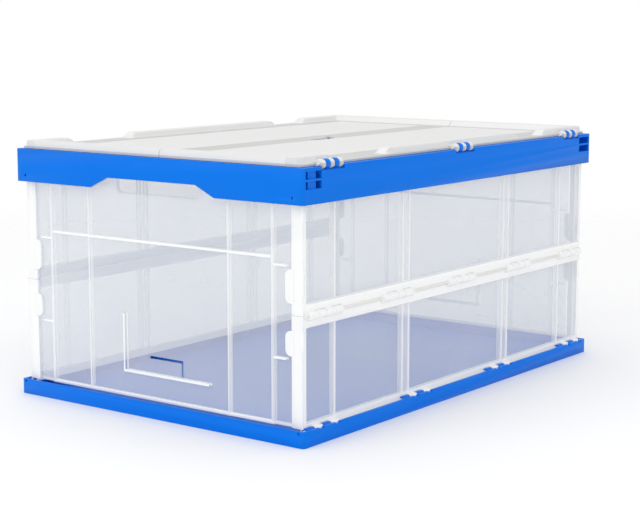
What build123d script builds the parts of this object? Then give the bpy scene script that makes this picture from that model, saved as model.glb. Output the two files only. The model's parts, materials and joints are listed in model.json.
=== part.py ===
from build123d import *
import os

# Folding storage crate with a hinged two-leaf lid. Millimetres, +Z up, length along X.
# The origin is on the floor, below the middle of the crate.

# Overall sizes
length = 600.0
width = 412.0
frame_top = 284.0        # top face of the blue frame, without the lid
base_height = 17.0       # rim of the base tray
frame_height = 37.0      # depth of the blue frame's outer wall

# Walls and clearances
skin = 3.0               # outer walls of the base tray and of the frame
sheet = 2.5              # clear wall panels
floor_bottom = 1.0
floor_thick = 2.4
flange_width = 22.0      # frame's top flange, measured from its outer face
wall_inset = 11.0        # panel sheet's outer face, in from the crate's outer face
end_inset = 10.0         # end panel's outer face, in from the crate's outer face
rib_depth = 3.0          # ribs on the long panels
end_rib_depth = 2.0      # ribs on the end panels
rib_width = 3.0
part_gap = 0.6           # free space between neighbouring pieces
joint_gap = 0.8          # end play beside each hinge knuckle

# Long-side hinges: three parallel lines, the panels' outer faces fold onto each other
side_axis_inset = 5.0    # middle hinge line, in from the crate's outer face
knuckle_radius = 4.4
rim_axis_inset = 6.6     # hinge lines at the base and at the frame
rim_knuckle_radius = 3.4
pin_radius = 1.5
pin_clearance = 0.05
base_axis_z = 15.0
frame_axis_z = 253.0
mid_axis_z = (base_axis_z + frame_axis_z) / 2
rail_height = 12.0       # stiff rails above and below the middle hinge
knuckle_length = 14.0
mid_groups = [-258.0, -129.0, 0.0, 129.0, 258.0]
base_groups = [-262.0, -88.0, 88.0, 262.0]
base_group_knuckles = 2

# Corner posts, moulded with the long panels
post_width = 6.0         # along the wall
post_return = 10.4       # over the end face, from the sheet's outer face inwards
post_thick = 3.0
tab_reach = 7.5          # rounded tabs of the posts, in front of the end panel
tab_thick = 2.4
tab_spans = [(92.0, 118.0), (146.0, 181.0)]
slit_spans = [(100.0, 117.0), (156.0, 175.0)]

# End panels
end_axis_inset = 17.0
end_axis_z = 270.0
end_groups = [-120.0, 0.0, 120.0]
end_side_gap = 1.5       # between an end panel and the corner posts
end_rib_inset = 23.1     # stiff outer ribs, in from the panel's side edges
end_rib_place = 101.0    # light inner ribs, from the middle
grip_width = 118.0       # hand-hold in the end panel
grip_height = 15.5
grip_bottom = 243.0
grip_corner = 6.0
notch_bottom_width = 179.0
notch_top_width = 128.0
notch_depth = 12.0

# Windows in the frame's long sides, one by each corner
window_width = 26.0
window_height = 18.0
window_bar = 2.2
window_corner = 4.0      # from the crate's end
window_drop = 3.5        # from the frame's top
pocket_depth = 12.0      # blind wall behind each window

# Lid leaves
lid_axis_inset = 5.4
lid_axis_z = 285.7
lid_knuckle_radius = 5.2
lid_groups = [-250.0, 0.0, 250.0]
lid_group_knuckles = 3
lid_knuckle_length = 7.4
lid_plate = 2.6
lid_lift = 0.4           # between the frame's top and the lid
lid_edge_inset = 8.0     # lid plate's long edge, in from the crate's outer face
lid_end_inset = 5.0
lid_bar_height = 6.5     # raised bars that locate a crate stacked on top
lid_bar_width = 15.0
lid_bar_inset = 3.6      # from the plate's long edge
seam_gap = 0.7
seam_step = 9.0          # how far the lid's teeth reach over the middle line
seam_slope = 14.0

# Details of the mouldings
lug_half = 2.6           # half thickness of the hinge lugs
bite = 0.5               # how far a feature runs into what it is moulded on
end_lug_half = 3.0
foot_ring = 14.0         # width of the base's standing ring
corner_chamfer = 2.0
frame_lip = 8.0          # lip round the inside of the frame's flange
pocket_wall = 1.5
pin_hole_radius = 1.5
pin_hole_inset = 14.0
pin_hole_height = 7.0

half_length = length / 2
half_width = width / 2
frame_bottom = frame_top - frame_height
floor_top = floor_bottom + floor_thick
side_axis_y = half_width - side_axis_inset
rim_axis_y = half_width - rim_axis_inset
sheet_y = half_width - wall_inset
end_face_x = half_length - end_inset
end_axis_x = half_length - end_axis_inset
lid_axis_y = half_width - lid_axis_inset
post_end_x = half_length - end_inset + 2.0
post_inner_y = sheet_y - post_return
bore_radius = pin_radius + pin_clearance
end_half_width = post_inner_y - end_side_gap
end_rib_outer = end_half_width - end_rib_inset


def block(x0, x1, y0, y1, z0, z1):
    """A box given by its limits."""
    return Pos((x0 + x1) / 2, (y0 + y1) / 2, (z0 + z1) / 2) * Box(x1 - x0, y1 - y0, z1 - z0)


def rod_x(radius, x0, x1, y, z):
    """A round bar along X."""
    return Pos((x0 + x1) / 2, y, z) * Rot(0, 90, 0) * Cylinder(radius, x1 - x0)


def rod_y(radius, y0, y1, x, z):
    """A round bar along Y."""
    return Pos(x, (y0 + y1) / 2, z) * Rot(90, 0, 0) * Cylinder(radius, y1 - y0)


def knuckle_spans(groups, count, pitch):
    """Start and end of every knuckle; even ones belong to one leaf, odd ones to the other."""
    spans = []
    for centre in groups:
        start = centre - count * pitch / 2
        spans.append([(start + i * pitch, start + (i + 1) * pitch) for i in range(count)])
    return spans


def every_second(spans, first):
    return [span for group in spans for span in group[first::2]]


mid_spans = knuckle_spans(mid_groups, 4, knuckle_length)
base_spans = knuckle_spans(base_groups, 2 * base_group_knuckles, knuckle_length)
end_spans = knuckle_spans(end_groups, 3, knuckle_length)
lid_spans = knuckle_spans(lid_groups, 2 * lid_group_knuckles - 1, lid_knuckle_length)
rib_places = [-237.0, -112.0, -100.0, 100.0, 112.0, 237.0]


def base_tray():
    """Shallow tray: floor, rim, and the lugs that carry the long panels."""
    tray = block(-half_length, half_length, -half_width, half_width, 0, base_height)
    inner_x, inner_y = half_length - skin, half_width - skin
    tray -= block(-inner_x, inner_x, -inner_y, inner_y, floor_top, base_height + 1)
    foot_x, foot_y = half_length - foot_ring, half_width - foot_ring
    tray -= block(-foot_x, foot_x, -foot_y, foot_y, -1, floor_bottom)
    tray = chamfer(tray.edges().filter_by(Axis.Z).group_by(SortBy.LENGTH)[-1], corner_chamfer)
    for side in (-1, 1):
        y = side * rim_axis_y
        for x0, x1 in every_second(base_spans, 0):
            a, b = x0 + joint_gap / 2, x1 - joint_gap / 2
            tray += block(a, b, y - lug_half, y + lug_half, floor_top - bite, base_axis_z)
            tray += rod_x(rim_knuckle_radius, a, b, y, base_axis_z)
        # shallow notches in the rim's top edge, beside the hinges
        for x0, x1 in every_second(base_spans, 1):
            edge = sorted((side * (half_width - skin - 1), side * (half_width + 1)))
            tray -= block(x0 + 3, x1 - 3, *edge, base_height - 1.6, base_height + 1)
        tray -= rod_x(bore_radius, -half_length, half_length, y, base_axis_z)
    return tray


def top_frame():
    """Rim of inverted L section with hinge lugs, hand-hold notches and corner windows."""
    frame = block(-half_length, half_length, -half_width, half_width, frame_bottom, frame_top)
    frame -= block(-half_length + skin, half_length - skin, -half_width + skin, half_width - skin,
                   frame_bottom - 1, frame_top - skin)
    flange_x, flange_y = half_length - flange_width, half_width - flange_width
    frame -= block(-flange_x, flange_x, -flange_y, flange_y, frame_bottom, frame_top + 1)
    frame = chamfer(frame.edges().filter_by(Axis.Z).group_by(SortBy.LENGTH)[-1], corner_chamfer)
    # lip round the inside of the flange on the long sides
    lip = frame_lip
    for side in (-1, 1):
        y0, y1 = sorted((side * flange_y, side * (flange_y + 2.0)))
        frame += block(-flange_x, flange_x, y0, y1, frame_top - skin - lip, frame_top - skin + bite)
    # hand-hold notch in the lower edge of each end
    notch = Polyline((-notch_bottom_width / 2, 0), (-notch_top_width / 2, notch_depth),
                     (notch_top_width / 2, notch_depth), (notch_bottom_width / 2, 0), close=True)
    notch_face = make_face(notch)
    notch_bar = extrude(Plane((-half_length - 1, 0, frame_bottom), (0, 1, 0), (1, 0, 0)) * notch_face,
                        length + 2)
    frame -= notch_bar
    # open window with one cross bar on each long side near each corner
    window_x = half_length - window_corner - window_width / 2
    window_z = frame_top - window_drop - window_height / 2
    for side in (-1, 1):
        y0, y1 = sorted((side * (half_width - skin - 1), side * (half_width + 1)))
        for end in (-1, 1):
            x = end * window_x
            # blind pocket behind the window: back wall, shelf and inner end
            pocket_y = half_width - pocket_depth
            pocket_x = window_x - window_width / 2 - 3
            wall_y = sorted((side * pocket_y, side * (pocket_y - pocket_wall)))
            wall_x = sorted((end * (half_length - skin - bite), end * pocket_x))
            shelf_y = sorted((side * pocket_y, side * (half_width - skin + bite)))
            shelf_z = window_z - window_height / 2 - 1
            frame += block(*wall_x, *wall_y, shelf_z - pocket_wall, frame_top - skin + bite)
            frame += block(*wall_x, *shelf_y, shelf_z - pocket_wall, shelf_z)
            inner_end = sorted((end * pocket_x, end * (pocket_x + pocket_wall)))
            frame += block(*inner_end, *shelf_y, shelf_z, frame_top - skin + bite)
            for k in (-1, 1):
                z = window_z + k * (window_height + window_bar) / 4
                h = (window_height - window_bar) / 4
                frame -= block(x - window_width / 2, x + window_width / 2, y0, y1, z - h, z + h)
    # pin holes low on the end faces
    for y in (-half_width + pin_hole_inset, half_width - pin_hole_inset):
        frame -= rod_x(pin_hole_radius, -half_length - 1, half_length + 1, y, frame_bottom + pin_hole_height)
    for side in (-1, 1):
        # lugs of the long panels' upper hinge
        y = side * rim_axis_y
        inner = side * (rim_axis_y - lug_half)
        outer = side * (half_width - skin + bite)
        for x0, x1 in every_second(base_spans, 0):
            a, b = x0 + joint_gap / 2, x1 - joint_gap / 2
            frame += block(a, b, min(inner, outer), max(inner, outer), frame_axis_z, frame_top - skin + bite)
            frame += rod_x(rim_knuckle_radius, a, b, y, frame_axis_z) & block(
                a, b, *sorted((0, side * (half_width - skin + 0.2))), 0, frame_top)
        frame -= rod_x(bore_radius, -half_length + skin + 2, half_length - skin - 2, y, frame_axis_z)
        # lid hinge: notches in the top edge and the knuckles between them
        y = side * lid_axis_y
        for group in lid_spans:
            g0, g1 = group[0][0] - joint_gap, group[-1][1] + joint_gap
            clear = lid_knuckle_radius + part_gap
            frame -= rod_x(clear, g0, g1, y, lid_axis_z)
            y0, y1 = sorted((y, side * (half_width + 1)))
            frame -= block(g0, g1, y0, y1, lid_axis_z - clear, frame_top + 1)
            seat_y = sorted((side * (lid_axis_y - 7), side * (half_width - skin + bite)))
            seat = block(g0 - 1, g1 + 1, *seat_y, lid_axis_z - clear - 3, frame_top)
            frame += seat - rod_x(clear, g0, g1, y, lid_axis_z)
            for x0, x1 in group[1::2]:
                a, b = x0 + joint_gap / 2, x1 - joint_gap / 2
                frame += rod_x(lid_knuckle_radius, a, b, y, lid_axis_z)
                frame += block(a, b, y - 2.4, y + 2.4, lid_axis_z - clear - 1, lid_axis_z)
            frame -= rod_x(bore_radius, g0 - 3, g1 + 3, y, lid_axis_z)
    for end in (-1, 1):
        # lugs of the end panels' hinge
        x = end * end_axis_x
        for group in end_spans:
            for y0, y1 in (group[0], group[-1]):
                a, b = y0 + joint_gap / 2, y1 - joint_gap / 2
                frame += block(x - end_lug_half, x + end_lug_half, a, b, end_axis_z, frame_top - skin + bite)
                frame += rod_y(knuckle_radius, a, b, x, end_axis_z)
        frame -= rod_y(bore_radius, -half_width + flange_width, half_width - flange_width, x, end_axis_z)
    return frame


def side_panel(upper):
    """Half of a long wall at +Y, with its rails, ribs, posts and knuckles."""
    gap = part_gap / 2
    if upper:
        low, high = mid_axis_z + gap, frame_axis_z + 1.5
        rail_low, rail_high = low, low + rail_height
        hinge_z, mid_first, other_first = frame_axis_z, 0, 1
        foot_low, foot_high = frame_bottom - 4, high
    else:
        low, high = base_axis_z - 1.5, mid_axis_z - gap
        rail_low, rail_high = high - rail_height, high
        hinge_z, mid_first, other_first = base_axis_z, 1, 0
        foot_low, foot_high = low, low + 9
    x_sheet = half_length - 12.0
    inner = sheet_y - sheet
    rib_y = sheet_y + rib_depth
    panel = block(-x_sheet, x_sheet, inner, sheet_y, low, high)
    # rails: one at the middle hinge, a lighter one at the far edge
    panel += block(-x_sheet, x_sheet, inner, side_axis_y - 0.4, rail_low, rail_high)
    panel += block(-x_sheet, x_sheet, sheet_y - bite, rib_y, foot_low, foot_high)
    for x in rib_places:
        panel += block(x - rib_width / 2, x + rib_width / 2, sheet_y - bite, rib_y, low, high)
    # corner posts: a flat on the long side and a return over the end face
    post_low = low if upper else base_height + part_gap
    post_high = high if not upper else frame_bottom + 8
    for end in (-1, 1):
        x0, x1 = sorted((end * (post_end_x - post_width), end * post_end_x))
        panel += block(x0, x1, inner, rib_y + 0.8, post_low, post_high)
        f0, f1 = sorted((end * (post_end_x - post_thick), end * post_end_x))
        panel += block(f0, f1, post_inner_y, inner + bite, post_low, post_high)
        # rounded tab in front of the end panel, and a slit in the post beside it
        tab_low, tab_high = tab_spans[1 if upper else 0]
        t0, t1 = sorted((end * (end_face_x + bite), end * (end_face_x + bite + tab_thick)))
        tab = block(t0, t1, post_inner_y - tab_reach, post_inner_y + 3, tab_low, tab_high)
        inner_edges = tab.edges().filter_by(Axis.X).group_by(Axis.Y)[0]
        panel += fillet(inner_edges, tab_reach * 0.9)
        slit_low, slit_high = slit_spans[1 if upper else 0]
        s0, s1 = sorted((end * (post_end_x - post_thick - 1.2), end * (post_end_x - post_thick)))
        panel -= block(s0, s1, inner - 1, rib_y + 2, slit_low, slit_high)
    # middle hinge
    for x0, x1 in every_second(mid_spans, other_first):
        a, b = x0 - joint_gap / 2, x1 + joint_gap / 2
        panel -= rod_x(knuckle_radius + part_gap, a, b, side_axis_y, mid_axis_z)
    for x0, x1 in every_second(mid_spans, mid_first):
        a, b = x0 + joint_gap / 2, x1 - joint_gap / 2
        panel += rod_x(knuckle_radius, a, b, side_axis_y, mid_axis_z)
    panel -= rod_x(bore_radius, -half_length, half_length, side_axis_y, mid_axis_z)
    # hinge to the frame or to the base
    reach = rim_knuckle_radius + part_gap
    for x0, x1 in every_second(base_spans, 0):
        panel -= block(x0 - joint_gap / 2, x1 + joint_gap / 2, rim_axis_y - reach, rim_axis_y + 5,
                       hinge_z - reach, hinge_z + reach)
    for x0, x1 in every_second(base_spans, 1):
        a, b = x0 + joint_gap / 2, x1 - joint_gap / 2
        eye = rod_x(rim_knuckle_radius, a, b, rim_axis_y, hinge_z)
        arm = block(a, b, sheet_y - bite, rim_axis_y, hinge_z - 1.5, hinge_z + 1.5)
        panel += (eye + arm) & block(a, b, 0, half_width - skin - part_gap / 2, 0, frame_top)
    panel -= rod_x(bore_radius, -half_length, half_length, rim_axis_y, hinge_z)
    return panel


def end_panel():
    """One-piece end wall at -X that hangs from the frame and swings inwards."""
    half = end_half_width
    low, high = base_height + part_gap, end_axis_z - 4.0
    outer, inner = -end_face_x, -end_face_x + sheet
    rib_x = outer - end_rib_depth
    panel = block(outer, inner, -half, half, low, high)
    for y in (-end_rib_outer, -end_rib_place, end_rib_place, end_rib_outer):
        thick = 4.0 if abs(y) == end_rib_outer else 2.5
        panel += block(rib_x, outer + bite, y - thick / 2, y + thick / 2, low, frame_bottom + 6)
    for z in (low + 1.5, 191.5):
        panel += block(rib_x, outer + bite, -end_rib_outer, end_rib_outer, z - 1.5, z + 1.5)
    for side in (-1, 1):
        y0, y1 = sorted((side * end_rib_outer, side * (half - 1)))
        for z in (tab_spans[0][0] - 4, tab_spans[1][1] + 3):
            panel += block(rib_x, outer + bite, y0, y1, z - 1.2, z + 1.2)
    # hand-hold with a rolled lip behind it
    grip_top = grip_bottom + grip_height
    hole = block(outer - 9, inner + 9, -grip_width / 2, grip_width / 2, grip_bottom, grip_top)
    lip_wall = 2.0
    lip = block(inner - bite, inner + 3, -grip_width / 2 - lip_wall, grip_width / 2 + lip_wall,
                grip_bottom - lip_wall, grip_top + lip_wall)
    panel = panel + lip - fillet(hole.edges().filter_by(Axis.X), min(grip_corner, 0.45 * grip_height))
    # label holder: a ledge, an upright and a sprung tongue
    holder_y0, holder_y1, ledge_z = -75.0, 50.0, 46.5
    reach = outer - 3.0
    panel += block(reach, outer + bite, holder_y0, holder_y1, ledge_z - 1.5, ledge_z + 1.5)
    panel += block(reach, outer + bite, holder_y1 - 3, holder_y1, ledge_z, ledge_z + 64)
    tongue_y0, tongue_y1, tongue_top = -32.0, 11.0, ledge_z + 17
    slot = 3.2
    panel -= block(outer - 5, inner + 1, tongue_y0 - slot, tongue_y1 + slot, tongue_top, tongue_top + slot)
    panel -= block(outer - 5, inner + 1, tongue_y0 - slot, tongue_y0, ledge_z + 1.5, tongue_top + slot)
    panel -= block(outer - 5, inner + 1, holder_y1 + 1.5, holder_y1 + 3.5, ledge_z + 4, ledge_z + 16)
    # hinge knuckles between the frame's lugs
    x = -end_axis_x
    for group in end_spans:
        y0, y1 = group[1]
        a, b = y0 + joint_gap / 2, y1 - joint_gap / 2
        panel += block(outer, x, a, b, high - 3, high + 1.5)
        panel += block(x - knuckle_radius, x, a, b, high, end_axis_z)
        panel += rod_y(knuckle_radius, a, b, x, end_axis_z)
    panel -= rod_y(bore_radius, -half_width, half_width, x, end_axis_z)
    return panel


def seam_points():
    """The stepped line on which the two leaves meet, from -X to +X."""
    end_x = half_length - lid_end_inset
    points = [(-end_x, -seam_step)]
    for i, share in enumerate((0.02, 0.27, 0.52, 0.77)):
        x = -half_length + share * length
        level = seam_step if i % 2 == 0 else -seam_step
        points += [(x, -level), (x + seam_slope, level)]
    points.append((end_x, -seam_step))
    return points


def lid_leaf(side):
    """One leaf of the lid: plate, raised bars, ribs below, knuckles at the long edge."""
    z0 = frame_top + lid_lift
    z1 = z0 + lid_plate
    end_x = half_length - lid_end_inset
    edge_y = half_width - lid_edge_inset
    seam = [(x, y + side * seam_gap / 2) for x, y in seam_points()]
    outline = Polyline(*seam, (end_x, side * edge_y), (-end_x, side * edge_y), close=True)
    leaf = extrude(make_face(outline), lid_plate)
    if leaf.bounding_box().min.Z < -0.1:
        leaf = Pos(0, 0, lid_plate) * leaf
    leaf = Pos(0, 0, z0) * leaf
    bar_top = z1 + lid_bar_height
    # raised bars along the hinge edge, and along both ends
    bar_y = sorted((side * (edge_y - lid_bar_inset), side * (edge_y - lid_bar_inset - lid_bar_width)))
    for x0, x1 in ((-end_x, -228), (-144, 144), (192, end_x)):
        bar = block(x0, x1, *bar_y, z1 - bite, bar_top)
        leaf += chamfer(bar.edges().group_by(Axis.Z)[-1], 1.5)
    end_y = sorted((side * (seam_step + 12), side * (edge_y - lid_bar_inset)))
    for x0, x1 in ((-end_x, -end_x + 9), (end_x - 9, end_x)):
        bar = block(x0, x1, *end_y, z1 - bite, bar_top)
        leaf += chamfer(bar.edges().group_by(Axis.Z)[-1], 1.5)
    # stiffening ribs under the field, inside the frame's opening
    rib_low = z0 - 5.0
    rib_y = sorted((side * (seam_step + 8), side * (half_width - flange_width - 6)))
    for x in (-200.0, -100.0, 0.0, 100.0, 200.0):
        leaf += block(x - 1, x + 1, *rib_y, rib_low, z0 + bite)
    # hinge knuckles
    y = side * lid_axis_y
    for group in lid_spans:
        for x0, x1 in group[1::2]:
            a, b = x0 - joint_gap / 2, x1 + joint_gap / 2
            leaf -= rod_x(lid_knuckle_radius + part_gap, a, b, y, lid_axis_z)
        for x0, x1 in group[0::2]:
            a, b = x0 + joint_gap / 2, x1 - joint_gap / 2
            leaf += rod_x(lid_knuckle_radius, a, b, y, lid_axis_z)
            arm = sorted((side * (edge_y - 2), y))
            leaf += block(a, b, *arm, z0, z1)
    leaf -= rod_x(bore_radius, -half_length, half_length, y, lid_axis_z)
    return leaf


def lid_pins(side):
    """Three short pins, each through one group of lid knuckles."""
    pins = []
    for group in lid_spans:
        g0, g1 = group[0][0] - joint_gap - 2, group[-1][1] + joint_gap + 2
        pins.append(rod_x(pin_radius, g0, g1, side * lid_axis_y, lid_axis_z))
    return Compound(children=pins)


nodes = {"base_tray": base_tray(), "top_frame": top_frame()}
upper, lower, end_wall = side_panel(True), side_panel(False), end_panel()
pin_reach = half_length - skin - 6
end_pin_reach = end_groups[-1] + 1.5 * knuckle_length + 2
for side, label in ((1, "left"), (-1, "right")):
    nodes["upper_side_panel_" + label] = upper if side > 0 else mirror(upper, about=Plane.XZ)
    nodes["lower_side_panel_" + label] = lower if side > 0 else mirror(lower, about=Plane.XZ)
    y = side * side_axis_y
    nodes["mid_hinge_rod_" + label] = rod_x(pin_radius, -pin_reach, pin_reach, y, mid_axis_z)
    rim_y = side * rim_axis_y
    nodes["base_hinge_rod_" + label] = rod_x(pin_radius, -pin_reach, pin_reach, rim_y, base_axis_z)
    nodes["frame_hinge_rod_" + label] = rod_x(pin_radius, -pin_reach, pin_reach, rim_y, frame_axis_z)
    nodes["lid_leaf_" + label] = lid_leaf(side)
    nodes["lid_hinge_pins_" + label] = lid_pins(side)
for end, label in ((-1, "front"), (1, "back")):
    turned = Rot(0, 0, 0 if end < 0 else 180)
    nodes["end_panel_" + label] = turned * end_wall
    x = end * end_axis_x
    nodes["end_hinge_rod_" + label] = rod_y(pin_radius, -end_pin_reach, end_pin_reach, x, end_axis_z)

os.makedirs("parts", exist_ok=True)
for name, shape in nodes.items():
    export_step(shape, "parts/" + name + ".step")
    print(name, round(shape.volume), "mm3")
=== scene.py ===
import json
import math

import bmesh
import bpy
import numpy as np
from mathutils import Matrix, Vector


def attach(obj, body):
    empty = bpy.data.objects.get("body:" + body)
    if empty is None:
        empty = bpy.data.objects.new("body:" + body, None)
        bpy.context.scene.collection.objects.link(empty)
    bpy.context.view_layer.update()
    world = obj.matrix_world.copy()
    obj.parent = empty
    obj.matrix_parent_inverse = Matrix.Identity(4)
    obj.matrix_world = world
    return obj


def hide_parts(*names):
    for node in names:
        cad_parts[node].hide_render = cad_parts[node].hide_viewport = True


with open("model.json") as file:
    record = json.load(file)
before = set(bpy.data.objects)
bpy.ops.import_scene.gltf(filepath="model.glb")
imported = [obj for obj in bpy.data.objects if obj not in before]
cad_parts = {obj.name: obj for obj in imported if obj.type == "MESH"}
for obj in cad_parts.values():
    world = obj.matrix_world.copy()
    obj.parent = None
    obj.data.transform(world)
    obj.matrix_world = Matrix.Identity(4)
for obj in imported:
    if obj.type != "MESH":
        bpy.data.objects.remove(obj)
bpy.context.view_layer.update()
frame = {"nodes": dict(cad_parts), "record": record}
nodes = frame["nodes"]

# Lengths are metres.


def newGroup(name, inputs, outputs):
    # An empty node group with its sockets; each input is (name, type, default).
    group = bpy.data.node_groups.new(name, "ShaderNodeTree")
    for label, kind, value in inputs:
        socket = group.interface.new_socket(name=label, in_out="INPUT", socket_type=kind)
        if value is not None:
            socket.default_value = value
    for label, kind in outputs:
        group.interface.new_socket(name=label, in_out="OUTPUT", socket_type=kind)
    return group, group.nodes.new("NodeGroupInput"), group.nodes.new("NodeGroupOutput")


def mathNode(tree, operation, a, b=None, clamp=False):
    # A Math node; a and b are sockets or plain numbers.
    node = tree.nodes.new("ShaderNodeMath")
    node.operation = operation
    node.use_clamp = clamp
    for index, value in enumerate((a, b)):
        if value is None:
            continue
        if isinstance(value, (int, float)):
            node.inputs[index].default_value = value
        else:
            tree.links.new(value, node.inputs[index])
    return node.outputs[0]


def varied(tree, mask, middle, spread):
    # Half the spread below the middle where the mask is 0, and half the spread above it where the mask is 1.
    return mathNode(tree, "ADD", mathNode(tree, "MULTIPLY", mask, spread), middle - spread / 2)


def noiseNode(tree, vector, scale, detail, roughness=0.5, stretch=(1.0, 1.0, 1.0)):
    # Noise on a stretched copy of the piece's own coordinates.
    mapping = tree.nodes.new("ShaderNodeMapping")
    mapping.inputs["Scale"].default_value = stretch
    tree.links.new(vector, mapping.inputs["Vector"])
    noise = tree.nodes.new("ShaderNodeTexNoise")
    noise.inputs["Detail"].default_value = detail
    noise.inputs["Roughness"].default_value = roughness
    if isinstance(scale, (int, float)):
        noise.inputs["Scale"].default_value = scale
    else:
        tree.links.new(scale, noise.inputs["Scale"])
    tree.links.new(mapping.outputs["Vector"], noise.inputs["Vector"])
    return noise.outputs["Fac"]


def mixColor(tree, factor, a, b):
    # A colour mix; a and b are sockets or colours.
    node = tree.nodes.new("ShaderNodeMix")
    node.data_type = "RGBA"
    tree.links.new(factor, node.inputs["Factor"])
    colorSockets = [s for s in node.inputs if s.type == "RGBA"]
    for socket, value in zip(colorSockets, (a, b)):
        if isinstance(value, tuple):
            socket.default_value = value
        else:
            tree.links.new(value, socket)
    return [s for s in node.outputs if s.type == "RGBA"][0]


skin = {"grainShare": 0.25, "sinkShare": 0.9, "sinkScale": 14.0,
        "streakScale": 60.0, "streakStretch": (0.25, 0.25, 3.0), "streakLevel": 0.60, "streakGain": 6.0,
        "patchScale": 9.0, "patchLevel": 0.42, "bumpDistance": 0.0006}


def mouldSkin():
    # Height is fine grain plus soft sink marks; Mottle is slow noise; Rub is thin streaks in sparse patches.
    group, start, end = newGroup(
        "mouldSkin",
        [("Vector", "NodeSocketVector", None), ("Grain Scale", "NodeSocketFloat", 800.0),
         ("Mottle Scale", "NodeSocketFloat", 6.0), ("Rub Amount", "NodeSocketFloat", 0.5)],
        [("Height", "NodeSocketFloat"), ("Mottle", "NodeSocketFloat"), ("Rub", "NodeSocketFloat")])
    vector = start.outputs["Vector"]
    grain = noiseNode(group, vector, start.outputs["Grain Scale"], 2.0, 0.6)
    sink = noiseNode(group, vector, skin["sinkScale"], 1.0)
    grain = mathNode(group, "MULTIPLY", grain, skin["grainShare"])
    height = mathNode(group, "ADD", grain, mathNode(group, "MULTIPLY", sink, skin["sinkShare"]))
    mottle = noiseNode(group, vector, start.outputs["Mottle Scale"], 3.0)
    streaks = noiseNode(group, vector, skin["streakScale"], 4.0, 0.65, skin["streakStretch"])
    patches = noiseNode(group, vector, skin["patchScale"], 2.0)
    streaks = mathNode(group, "SUBTRACT", streaks, skin["streakLevel"], True)
    patches = mathNode(group, "SUBTRACT", patches, skin["patchLevel"], True)
    rub = mathNode(group, "MULTIPLY", streaks, skin["streakGain"], True)
    rub = mathNode(group, "MULTIPLY", rub, patches)
    rub = mathNode(group, "MULTIPLY", rub, start.outputs["Rub Amount"], True)
    group.links.new(height, end.inputs["Height"])
    group.links.new(mottle, end.inputs["Mottle"])
    group.links.new(rub, end.inputs["Rub"])
    return group


def bandMask():
    # One inside a band of a coordinate, zero outside it, with a soft edge.
    group, start, end = newGroup(
        "bandMask",
        [("Value", "NodeSocketFloat", 0.0), ("Middle", "NodeSocketFloat", 0.0),
         ("Half Width", "NodeSocketFloat", 0.01), ("Softness", "NodeSocketFloat", 0.001)],
        [("Mask", "NodeSocketFloat")])
    away = mathNode(group, "SUBTRACT", start.outputs["Value"], start.outputs["Middle"])
    inside = mathNode(group, "SUBTRACT", start.outputs["Half Width"], mathNode(group, "ABSOLUTE", away))
    mask = mathNode(group, "DIVIDE", inside, start.outputs["Softness"], True)
    group.links.new(mask, end.inputs["Mask"])
    return group


skinGroup = mouldSkin()
bandGroup = bandMask()


def startMaterial(name, look):
    # A material with the shared skin in it; returns the parts that a finish needs.
    material = bpy.data.materials.new(name)
    material.use_nodes = True
    tree = material.node_tree
    shader = tree.nodes["Principled BSDF"]
    coords = tree.nodes.new("ShaderNodeTexCoord")
    surface = tree.nodes.new("ShaderNodeGroup")
    surface.node_tree = skinGroup
    surface.inputs["Grain Scale"].default_value = look["grain"]
    surface.inputs["Mottle Scale"].default_value = look["mottle"]
    surface.inputs["Rub Amount"].default_value = look["rub"]
    tree.links.new(coords.outputs["Object"], surface.inputs["Vector"])
    bump = tree.nodes.new("ShaderNodeBump")
    bump.inputs["Strength"].default_value = look["bump"]
    bump.inputs["Distance"].default_value = skin["bumpDistance"]
    tree.links.new(surface.outputs["Height"], bump.inputs["Height"])
    tree.links.new(bump.outputs["Normal"], shader.inputs["Normal"])
    return material, tree, shader, coords.outputs["Object"], surface.outputs


def placeBand(tree, value, middle, halfWidth, softness=0.001):
    # The band mask on a coordinate, with its own place and width.
    node = tree.nodes.new("ShaderNodeGroup")
    node.node_tree = bandGroup
    tree.links.new(value, node.inputs["Value"])
    node.inputs["Middle"].default_value = middle
    node.inputs["Half Width"].default_value = halfWidth
    node.inputs["Softness"].default_value = softness
    return node.outputs["Mask"]


bluePlastic = {"color": (0.0, 0.160, 0.74, 1.0), "lighter": (0.0, 0.190, 0.82, 1.0),
               "worn": (0.10, 0.32, 0.88, 1.0), "specular": 0.10,
               "roughness": 0.32, "roughSpread": 0.10, "roughRub": 0.35,
               "grain": 900.0, "mottle": 5.0, "rub": 0.9, "bump": 0.10}


def makeBlue():
    # Two near blues by the mottling, paler and duller where the plastic is rubbed.
    look = bluePlastic
    material, tree, shader, vector, surface = startMaterial("blueMoulding", look)
    color = mixColor(tree, surface["Mottle"], look["color"], look["lighter"])
    color = mixColor(tree, surface["Rub"], color, look["worn"])
    tree.links.new(color, shader.inputs["Base Color"])
    rough = varied(tree, surface["Mottle"], look["roughness"], look["roughSpread"])
    rough = mathNode(tree, "ADD", rough, mathNode(tree, "MULTIPLY", surface["Rub"], look["roughRub"]))
    tree.links.new(rough, shader.inputs["Roughness"])
    shader.inputs["Specular IOR Level"].default_value = look["specular"]
    return material


# glow is a painted glow: the clear sheets emit their own colour to lift their shade
clearPlastic = {"color": (0.74, 0.765, 0.79, 1.0), "milky": (0.86, 0.865, 0.86, 1.0), "paintedGlow": 0.14,
                "alpha": 0.29, "alphaSpread": 0.16, "alphaRub": 0.25, "milkyAlpha": 0.80, "ribAlpha": 0.55,
                "roughness": 0.22, "roughSpread": 0.12, "grain": 700.0, "mottle": 4.0, "rub": 0.5,
                "bump": 0.08, "ribHalf": 0.0024, "ribSoft": 0.0008, "lineSoft": 0.0004}
sideMarks = {"axis": "X", "ribs": (0.100, 0.112, 0.237), "railZ": 0.134, "railHalf": 0.0125,
             "postX": 0.2862, "footZ": 0.0175, "footHalf": 0.0055, "lines": ()}
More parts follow.
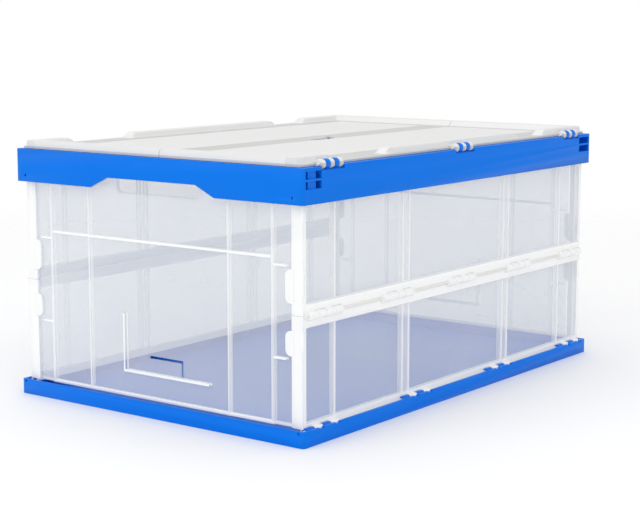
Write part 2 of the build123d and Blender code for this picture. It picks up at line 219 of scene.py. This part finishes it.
# a line is its middle and half width across, then its middle and half height
endMarks = {"axis": "Y", "ribs": (0.101, 0.160), "railZ": 0.0195, "railHalf": 0.0022, "postX": None,
            "lines": ((-0.0125, 0.0625, 0.0465, 0.0017),  # label holder's ledge
                      (0.0485, 0.0017, 0.0785, 0.0320),   # its upright
                      (-0.0105, 0.0215, 0.0645, 0.0012),  # top of its tongue
                      (0.0, 0.1580, 0.1915, 0.0017),      # long level rib
                      (0.1690, 0.0090, 0.0880, 0.0014), (0.1690, 0.0090, 0.1840, 0.0014),
                      (-0.1690, 0.0090, 0.0880, 0.0014), (-0.1690, 0.0090, 0.1840, 0.0014))}


def makeClear(name, marks, turn=1):
    # Clear sheet, denser and milky at the rails, posts and ribs, with a painted glow that lifts its shade;
    # turn is -1 for a wall turned round.
    look = clearPlastic
    material, tree, shader, vector, surface = startMaterial(name, look)
    axes = tree.nodes.new("ShaderNodeSeparateXYZ")
    tree.links.new(vector, axes.inputs[0])
    milky = placeBand(tree, axes.outputs["Z"], marks["railZ"], marks["railHalf"])
    if marks["postX"] is not None:
        fromMiddle = mathNode(tree, "ABSOLUTE", axes.outputs["X"])
        posts = mathNode(tree, "GREATER_THAN", fromMiddle, marks["postX"])
        foot = placeBand(tree, axes.outputs["Z"], marks["footZ"], marks["footHalf"])
        milky = mathNode(tree, "MAXIMUM", milky, mathNode(tree, "MAXIMUM", posts, foot))
    for across, halfAcross, height, halfHeight in marks["lines"]:
        line = placeBand(tree, axes.outputs["Y"], turn * across, halfAcross)
        level = placeBand(tree, axes.outputs["Z"], height, halfHeight, look["lineSoft"])
        milky = mathNode(tree, "MAXIMUM", milky, mathNode(tree, "MULTIPLY", line, level))
    along = mathNode(tree, "ABSOLUTE", axes.outputs[marks["axis"]])
    ribs = None
    for place in marks["ribs"]:
        band = placeBand(tree, along, place, look["ribHalf"], look["ribSoft"])
        ribs = band if ribs is None else mathNode(tree, "MAXIMUM", ribs, band)
    alpha = varied(tree, surface["Mottle"], look["alpha"], look["alphaSpread"])
    alpha = mathNode(tree, "ADD", alpha, mathNode(tree, "MULTIPLY", surface["Rub"], look["alphaRub"]))
    denser = mathNode(tree, "MULTIPLY", ribs, look["ribAlpha"] - look["alpha"])
    alpha = mathNode(tree, "ADD", alpha, denser)
    alpha = mathNode(tree, "MAXIMUM", alpha, mathNode(tree, "MULTIPLY", milky, look["milkyAlpha"]))
    color = mixColor(tree, mathNode(tree, "MAXIMUM", ribs, milky), look["color"], look["milky"])
    tree.links.new(color, shader.inputs["Base Color"])
    tree.links.new(color, shader.inputs["Emission Color"])  # painted glow: the sheet emits its own colour to lift its shade, standing in for light scattered inside the milky sheet
    shader.inputs["Emission Strength"].default_value = look["paintedGlow"]
    tree.links.new(alpha, shader.inputs["Alpha"])
    rough = varied(tree, surface["Mottle"], look["roughness"], look["roughSpread"])
    tree.links.new(rough, shader.inputs["Roughness"])
    return material


lidPlastic = {"color": (0.66, 0.66, 0.64, 1.0), "milky": (0.80, 0.80, 0.79, 1.0), "raisedZ": 0.2872,
              "alpha": 0.82, "alphaSpread": 0.14, "milkyAlpha": 0.92,
              "roughness": 0.34, "roughSpread": 0.14, "roughRub": 0.3,
              "grain": 520.0, "mottle": 3.0, "rub": 0.7, "bump": 0.16}


def makeLid():
    # Milky sheet, whiter and denser where it stands above the plate.
    look = lidPlastic
    material, tree, shader, vector, surface = startMaterial("milkyLid", look)
    axes = tree.nodes.new("ShaderNodeSeparateXYZ")
    tree.links.new(vector, axes.inputs[0])
    raised = mathNode(tree, "GREATER_THAN", axes.outputs["Z"], look["raisedZ"])
    alpha = varied(tree, surface["Mottle"], look["alpha"], look["alphaSpread"])
    alpha = mathNode(tree, "MAXIMUM", alpha, mathNode(tree, "MULTIPLY", raised, look["milkyAlpha"]))
    color = mixColor(tree, raised, look["color"], look["milky"])
    tree.links.new(color, shader.inputs["Base Color"])
    tree.links.new(alpha, shader.inputs["Alpha"])
    rough = varied(tree, surface["Mottle"], look["roughness"], look["roughSpread"])
    rough = mathNode(tree, "ADD", rough, mathNode(tree, "MULTIPLY", surface["Rub"], look["roughRub"]))
    tree.links.new(rough, shader.inputs["Roughness"])
    return material


pinPlastic = {"color": (0.83, 0.82, 0.79, 1.0), "darker": 0.92, "roughness": 0.415, "roughSpread": 0.15,
              "grain": 1200.0, "mottle": 12.0, "rub": 0.4, "bump": 0.08}


def makePins():
    # Natural nylon, a little darker by the mottling.
    look = pinPlastic
    material, tree, shader, vector, surface = startMaterial("nylonRod", look)
    darker = tuple(look["darker"] * c for c in look["color"][:3]) + (1.0,)
    color = mixColor(tree, surface["Mottle"], look["color"], darker)
    tree.links.new(color, shader.inputs["Base Color"])
    rough = varied(tree, surface["Mottle"], look["roughness"], look["roughSpread"])
    tree.links.new(rough, shader.inputs["Roughness"])
    return material


print("materials")
blue = makeBlue()
sideClear = makeClear("clearSide", sideMarks)
endClear = {"front": makeClear("clearFront", endMarks), "back": makeClear("clearBack", endMarks, -1)}
lidMilky = makeLid()
pins = makePins()


def paint(name, material):
    # A CAD node that is shown as it is, in one material.
    nodes[name].data.materials.clear()
    nodes[name].data.materials.append(material)


mouldEdge = {"blue": 0.0006, "clear": 0.0004, "segments": 2, "sharp": 50.0, "flat": 1.0, "merge": 0.00001}


def softEdged(name, pieceName, material, radius):
    # The moulding with rounded edges: its triangles merged into flat faces, then each sharp edge bevelled.
    mesh = nodes[name].data.copy()
    mesh.name = pieceName
    shape = bmesh.new()
    shape.from_mesh(mesh)
    bmesh.ops.remove_doubles(shape, verts=shape.verts, dist=mouldEdge["merge"])
    bmesh.ops.dissolve_limit(shape, angle_limit=math.radians(mouldEdge["flat"]),
                             verts=shape.verts, edges=shape.edges)
    shape.to_mesh(mesh)
    shape.free()
    mesh.materials.clear()
    mesh.materials.append(material)
    piece = bpy.data.objects.new(pieceName, mesh)
    bpy.context.scene.collection.objects.link(piece)
    bevel = piece.modifiers.new("edges", "BEVEL")
    bevel.width = radius
    bevel.segments = mouldEdge["segments"]
    bevel.limit_method = "ANGLE"
    bevel.angle_limit = math.radians(mouldEdge["sharp"])
    bevel.use_clamp_overlap = True
    bevel.harden_normals = True
    mesh.polygons.foreach_set("use_smooth", np.ones(len(mesh.polygons), bool))
    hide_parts(name)
    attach(piece, bodyOf[name])


print("mouldings")
bodyOf = {n: body for body, held in frame["record"]["behaviour"]["bodies"].items() for n in held}
softEdged("top_frame", "frameRim", blue, mouldEdge["blue"])
softEdged("base_tray", "baseTray", blue, mouldEdge["blue"])
for label in ("left", "right"):
    for level in ("upper", "lower"):
        softEdged(level + "_side_panel_" + label, level + "Wall." + label,
                  sideClear, mouldEdge["clear"])
    for line in ("mid", "base", "frame"):
        paint(line + "_hinge_rod_" + label, pins)
    paint("lid_hinge_pins_" + label, pins)
for label in ("front", "back"):
    softEdged("end_panel_" + label, "endWall." + label, endClear[label], mouldEdge["clear"])
    paint("end_hinge_rod_" + label, pins)

print("lid")
lid = {"length": 0.6, "endX": 0.295, "edgeY": 0.198, "bottom": 0.2844, "plate": 0.0026,
       "rise": 0.0065, "seamStep": 0.009, "seamSlope": 0.014, "seamGap": 0.0007,
       "seamShares": (0.02, 0.27, 0.52, 0.77), "grip": 0.030, "gripDeep": 0.007,
       "bars": ((-0.330, -0.228), (-0.144, 0.144), (0.192, 0.330)), "barIn": 0.1775, "barOut": 0.1944,
       "barRamp": 0.014, "innerRamp": 0.004, "outerRamp": 0.002,
       "borderIn": 0.272, "borderRamp": 0.009, "endRamp": 0.0015,
       "field": 0.0012, "fieldEnd": 0.250, "fieldIn": 0.022, "fieldOut": 0.154, "fieldRamp": 0.004,
       "edgeDrop": 0.0005, "edgeReach": 0.0012,
       "stepsAlong": 237, "stepsAcross": 60, "barStart": 0.87, "barSteps": 34}
lidKnuckle = {"axisY": 0.2006, "axisZ": 0.2857, "barrel": 0.0052, "groups": (-0.250, 0.0, 0.250),
              "length": 0.0074, "play": 0.0008, "startTurn": 128, "endTurn": -142, "steps": 28,
              "tail": ((-0.0075, -0.0013), (-0.0085, 0.0010)),
              "endSteps": (0.0, 0.0003, 0.001), "endSizes": (0.88, 0.96, 1.0)}
lidRib = {"places": (-0.2, -0.1, 0.0, 0.1, 0.2), "deep": 0.005, "half": 0.001, "halfBelow": 0.0006,
          "start": 0.020, "end": 0.176, "steps": 12, "fadeIn": (0.018, 0.030), "fadeOut": (0.166, 0.178),
          "least": 0.0002, "bite": 0.0003}
shellFinish = {"merge": 0.000001, "sharp": 38}
seamStarts = [(share - 0.5) * lid["length"] for share in lid["seamShares"]]


def smoothStep(value, low, high):
    # 0 below low, 1 above high, and 3t^2 - 2t^3 between.
    t = np.clip((value - low) / (high - low), 0.0, 1.0)
    return t * t * (3 - 2 * t)


def seamLine(x):
    # The stepped seam: ramps of two steps, up and down by turns, added to the low level.
    y = np.full_like(x, -lid["seamStep"])
    for order, start in enumerate(seamStarts):
        ramp = np.clip((x - start) / lid["seamSlope"], 0.0, 1.0)
        y += 2 * lid["seamStep"] * ramp * (1 if order % 2 == 0 else -1)
    return y


def lidRise(x, away):
    # Height above the plate at x and at a distance from the middle plane: the highest of the bars along the
    # hinge edge, the border at the ends and the low field. Each is a product of smooth steps.
    beforeEdge = 1 - smoothStep(away, lid["barOut"] - lid["outerRamp"], lid["barOut"])
    fromMiddle = np.abs(x)
    bars = np.zeros_like(x)
    for low, high in lid["bars"]:
        starts = smoothStep(x, low, low + lid["barRamp"])
        ends = 1 - smoothStep(x, high - lid["barRamp"], high)
        bars = np.maximum(bars, starts * ends)
    bars = bars * smoothStep(away, lid["barIn"], lid["barIn"] + lid["innerRamp"]) * beforeEdge
    border = smoothStep(fromMiddle, lid["borderIn"], lid["borderIn"] + lid["borderRamp"])
    border = border * (1 - smoothStep(fromMiddle, lid["endX"] - lid["endRamp"], lid["endX"])) * beforeEdge
    field = lid["field"] * smoothStep(lid["fieldEnd"] - fromMiddle, 0.0, lid["fieldRamp"])
    field = field * smoothStep(away, lid["fieldIn"], lid["fieldIn"] + lid["fieldRamp"])
    field = field * (1 - smoothStep(away, lid["fieldOut"] - lid["fieldRamp"], lid["fieldOut"]))
    return np.maximum(np.maximum(bars, border) * lid["rise"], field)


def lidShell(side):
    # A leaf as rings round its section: the top surface from the seam to the edge, then the underside back.
    # The finger opening is half an ellipse taken off the seam's edge.
    corners = [np.array([start, start + lid["seamSlope"]]) for start in seamStarts]
    x = np.unique(np.concatenate([np.linspace(-lid["endX"], lid["endX"], lid["stepsAlong"])] + corners))
    finer = np.linspace(lid["barStart"], 1.0, lid["barSteps"])
    v = np.unique(np.concatenate([np.linspace(0, 1, lid["stepsAcross"]), finer]))
    finger = lid["gripDeep"] * np.sqrt(np.clip(1 - (x / lid["grip"]) ** 2, 0, 1))
    seam = seamLine(x) + side * lid["seamGap"] / 2 + side * finger
    y = seam[:, None] + (side * lid["edgeY"] - seam[:, None]) * v[None, :]
    xs = np.repeat(x[:, None], v.size, axis=1)
    fromEdge = np.minimum(v, 1 - v) * lid["edgeY"]
    drop = lid["edgeDrop"] * (1 - smoothStep(fromEdge, 0.0, lid["edgeReach"]))[None, :]
    top = lid["bottom"] + lid["plate"] + lidRise(xs, side * y) - drop
    under = np.full_like(top, lid["bottom"])
    return np.concatenate([np.stack([xs, y, top], -1), np.stack([xs, y, under], -1)[:, ::-1]], axis=1)


def capFaces(ring):
    # Quads across a ring, between points that are as far from its start as from its end.
    step = np.arange(ring.size // 2 - 1)
    return np.stack([ring[step], ring[step + 1], ring[ring.size - 2 - step], ring[ring.size - 1 - step]], -1)


def ringFaces(rings, around):
    # Quads between neighbouring rings, and the two end caps.
    index = np.arange(rings * around).reshape(rings, around)
    wrapped = np.concatenate([index, index[:, :1]], axis=1)
    here, there = wrapped[:-1], wrapped[1:]
    quads = np.stack([here[:, :-1], there[:, :-1], there[:, 1:], here[:, 1:]], -1).reshape(-1, 4)
    return np.concatenate([quads, capFaces(index[0])[:, ::-1], capFaces(index[-1])])


def knuckleShell(side, low, high):
    # A barrel on the hinge line with a tail into the leaf's edge, carried along X; its ends draw in a little.
    turn = np.radians(np.linspace(lidKnuckle["startTurn"], lidKnuckle["endTurn"], lidKnuckle["steps"]))
    barrelRing = np.stack([np.cos(turn), np.sin(turn)], -1) * lidKnuckle["barrel"]
    outline = np.concatenate([barrelRing, np.array(lidKnuckle["tail"])])
    endSteps, endSizes = np.array(lidKnuckle["endSteps"]), np.array(lidKnuckle["endSizes"])
    along = np.concatenate([low + endSteps, high - endSteps[::-1]])
    size = np.concatenate([endSizes, endSizes[::-1]])
    ring = np.empty((along.size, len(outline), 3))
    ring[..., 0] = along[:, None]
    ring[..., 1] = side * (lidKnuckle["axisY"] + outline[None, :, 0] * size[:, None])
    ring[..., 2] = lidKnuckle["axisZ"] + outline[None, :, 1] * size[:, None]
    return ring


def ribShell(side, x):
    # A low tapered rib below the plate, as rings of four points along Y that fade out at both ends.
    ys = np.linspace(lidRib["start"], lidRib["end"], lidRib["steps"])
    fade = smoothStep(ys, *lidRib["fadeIn"]) * (1 - smoothStep(ys, *lidRib["fadeOut"]))
    deep = lidRib["deep"] * fade + lidRib["least"]
    half, halfBelow = lidRib["half"], lidRib["halfBelow"]
    ring = np.empty((ys.size, 4, 3))
    ring[..., 0] = x + np.array([-half, half, halfBelow, -halfBelow])
    ring[..., 1] = side * ys[:, None]
    ring[..., 2] = lid["bottom"] + lidRib["bite"] - deep[:, None] * np.array([0.0, 0.0, 1.0, 1.0])
    return ring


def shellPiece(name, shells):
    # One mesh from several closed shells of rings.
    points, faces, count = [], [], 0
    for ring in shells:
        points.append(ring.reshape(-1, 3))
        faces.append(ringFaces(ring.shape[0], ring.shape[1]) + count)
        count += ring.shape[0] * ring.shape[1]
    mesh = bpy.data.meshes.new(name)
    mesh.from_pydata(np.concatenate(points).tolist(), [], np.concatenate(faces).tolist())
    shape = bmesh.new()
    shape.from_mesh(mesh)
    bmesh.ops.remove_doubles(shape, verts=shape.verts, dist=shellFinish["merge"])
    bmesh.ops.recalc_face_normals(shape, faces=shape.faces)
    shape.to_mesh(mesh)
    shape.free()
    mesh.polygons.foreach_set("use_smooth", np.ones(len(mesh.polygons), bool))
    piece = bpy.data.objects.new(name, mesh)
    bpy.context.scene.collection.objects.link(piece)
    mesh.set_sharp_from_angle(angle=math.radians(shellFinish["sharp"]))
    return piece


halfKnuckle = (lidKnuckle["length"] - lidKnuckle["play"]) / 2
for side, label in ((1, "left"), (-1, "right")):
    shells = [lidShell(side)] + [ribShell(side, x) for x in lidRib["places"]]
    for group in lidKnuckle["groups"]:
        for order in (-2, 0, 2):  # three knuckles of the five; the frame has the other two
            middle = group + order * lidKnuckle["length"]
            shells.append(knuckleShell(side, middle - halfKnuckle, middle + halfKnuckle))
    leaf = shellPiece("lidLeaf." + label, shells)
    leaf.data.materials.append(lidMilky)
    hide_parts("lid_leaf_" + label)
    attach(leaf, "lid_" + label)


floor = {"size": 9.0, "color": (0.93, 0.932, 0.938, 1.0), "roughness": 0.6, "fadeStart": 0.5, "fadeEnd": 1.9}


def makeFloor():
    # A pale square that fades out with the distance from the crate, from 1 at fadeStart to 0 at fadeEnd.
    reach = floor["size"] / 2
    mesh = bpy.data.meshes.new("studioFloor")
    corners = [(-reach, -reach, 0), (reach, -reach, 0), (reach, reach, 0), (-reach, reach, 0)]
    mesh.from_pydata(corners, [], [(0, 1, 2, 3)])
    floorPiece = bpy.data.objects.new("studioFloor", mesh)
    bpy.context.scene.collection.objects.link(floorPiece)
    material = bpy.data.materials.new("paleFloor")
    material.use_nodes = True
    tree = material.node_tree
    shader = tree.nodes["Principled BSDF"]
    shader.inputs["Base Color"].default_value = floor["color"]
    shader.inputs["Roughness"].default_value = floor["roughness"]
    coords = tree.nodes.new("ShaderNodeTexCoord")
    distance = tree.nodes.new("ShaderNodeVectorMath")
    distance.operation = "LENGTH"
    fade = tree.nodes.new("ShaderNodeMapRange")
    fade.inputs["From Min"].default_value = floor["fadeStart"]
    fade.inputs["From Max"].default_value = floor["fadeEnd"]
    fade.inputs["To Min"].default_value = 1.0
    fade.inputs["To Max"].default_value = 0.0
    tree.links.new(coords.outputs["Object"], distance.inputs[0])
    tree.links.new(distance.outputs["Value"], fade.inputs["Value"])
    tree.links.new(fade.outputs["Result"], shader.inputs["Alpha"])
    mesh.materials.append(material)


sky = {"color": (1.0, 1.0, 1.0, 1.0), "strength": 0.79, "backdrop": 1.0}


def makeSky():
    # A dimmed white sky lights the crate, and a plain white one shows behind the floor.
    world = bpy.data.worlds.new("studio")
    bpy.context.scene.world = world
    world.use_nodes = True
    tree = world.node_tree
    lighting = tree.nodes["Background"]
    backdrop = tree.nodes.new("ShaderNodeBackground")
    for background, strength in ((lighting, sky["strength"]), (backdrop, sky["backdrop"])):
        background.inputs["Color"].default_value = sky["color"]
        background.inputs["Strength"].default_value = strength
    chooser = tree.nodes.new("ShaderNodeMixShader")
    path = tree.nodes.new("ShaderNodeLightPath")
    tree.links.new(path.outputs["Is Camera Ray"], chooser.inputs[0])
    tree.links.new(lighting.outputs[0], chooser.inputs[1])
    tree.links.new(backdrop.outputs[0], chooser.inputs[2])
    tree.links.new(chooser.outputs[0], tree.nodes["World Output"].inputs["Surface"])


def aimed(place, aim):
    # The turn that points an object at the place towards the aim, with +Y up.
    return (Vector(aim) - Vector(place)).to_track_quat("-Z", "Y").to_euler()


lampAim = (0.0, 0.0, 0.15)
lamps = {"key": {"power": 27.0, "place": (-1.6, -2.2, 2.6), "size": 2.4},
         "fill": {"power": 15.0, "place": (-2.6, 0.9, 1.6), "size": 2.0},
         "top": {"power": 17.0, "place": (0.3, 0.4, 2.8), "size": 2.6}}


def areaLight(name, lamp):
    # A square lamp that faces the crate.
    data = bpy.data.lights.new(name + "Light", "AREA")
    data.energy = lamp["power"]
    data.size = lamp["size"]
    piece = bpy.data.objects.new(name + "Light", data)
    piece.location = lamp["place"]
    piece.rotation_euler = aimed(lamp["place"], lampAim)
    bpy.context.scene.collection.objects.link(piece)


camera = {"place": (-1.540, -1.163, 0.432), "aim": (0.0, 0.0, 0.143), "lens": 90.0}


def makeCamera():
    # The camera, turned from its place towards its aim.
    data = bpy.data.cameras.new("camera")
    data.lens = camera["lens"]
    piece = bpy.data.objects.new("camera", data)
    piece.location = camera["place"]
    piece.rotation_euler = aimed(camera["place"], camera["aim"])
    bpy.context.scene.collection.objects.link(piece)
    bpy.context.scene.camera = piece


print("stage")
makeFloor()
bpy.context.scene.view_settings.view_transform = "Standard"
makeSky()
for lampName, lamp in lamps.items():
    areaLight(lampName, lamp)
makeCamera()
